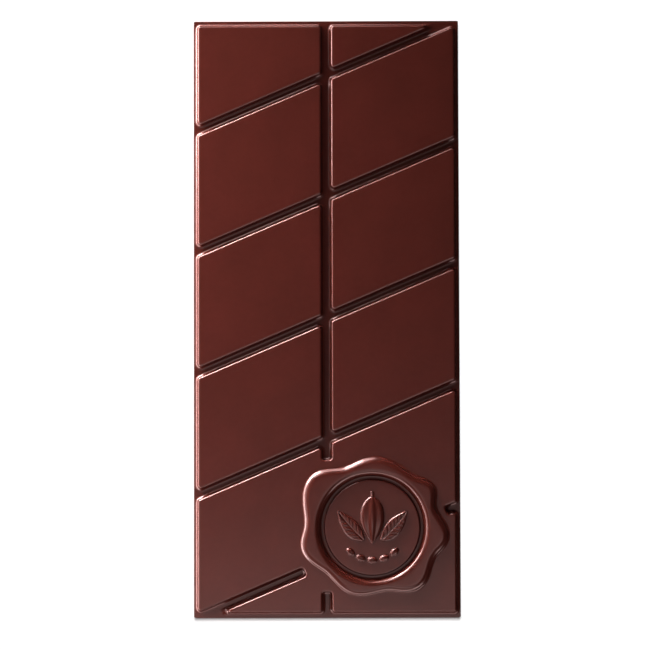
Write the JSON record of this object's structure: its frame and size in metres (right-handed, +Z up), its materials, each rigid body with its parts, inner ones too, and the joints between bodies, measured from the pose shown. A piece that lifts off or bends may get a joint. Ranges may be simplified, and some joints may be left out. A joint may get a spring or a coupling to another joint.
{
  "type": "chocolate bar",
  "caption": "Flat moulded bar of dark chocolate: slanting raised tablets between narrow grooves, and a round wax-seal medallion with a cocoa pod on the large panel at one end.",
  "frame": {"origin": "middle of the bar's flat back, on the surface that it lies on", "axes": "+Y along the bar, from the end with the medallion to the plain end; +X across it, towards the side that the medallion is nearer to; +Z up, out of the relief"},
  "size_m": [0.071, 0.16, 0.0082],
  "materials": {
    "dark_chocolate": "satin"
  },
  "bodies": {
    "root": {"chocolate_bar": "dark_chocolate"}
  },
  "joints": []
}
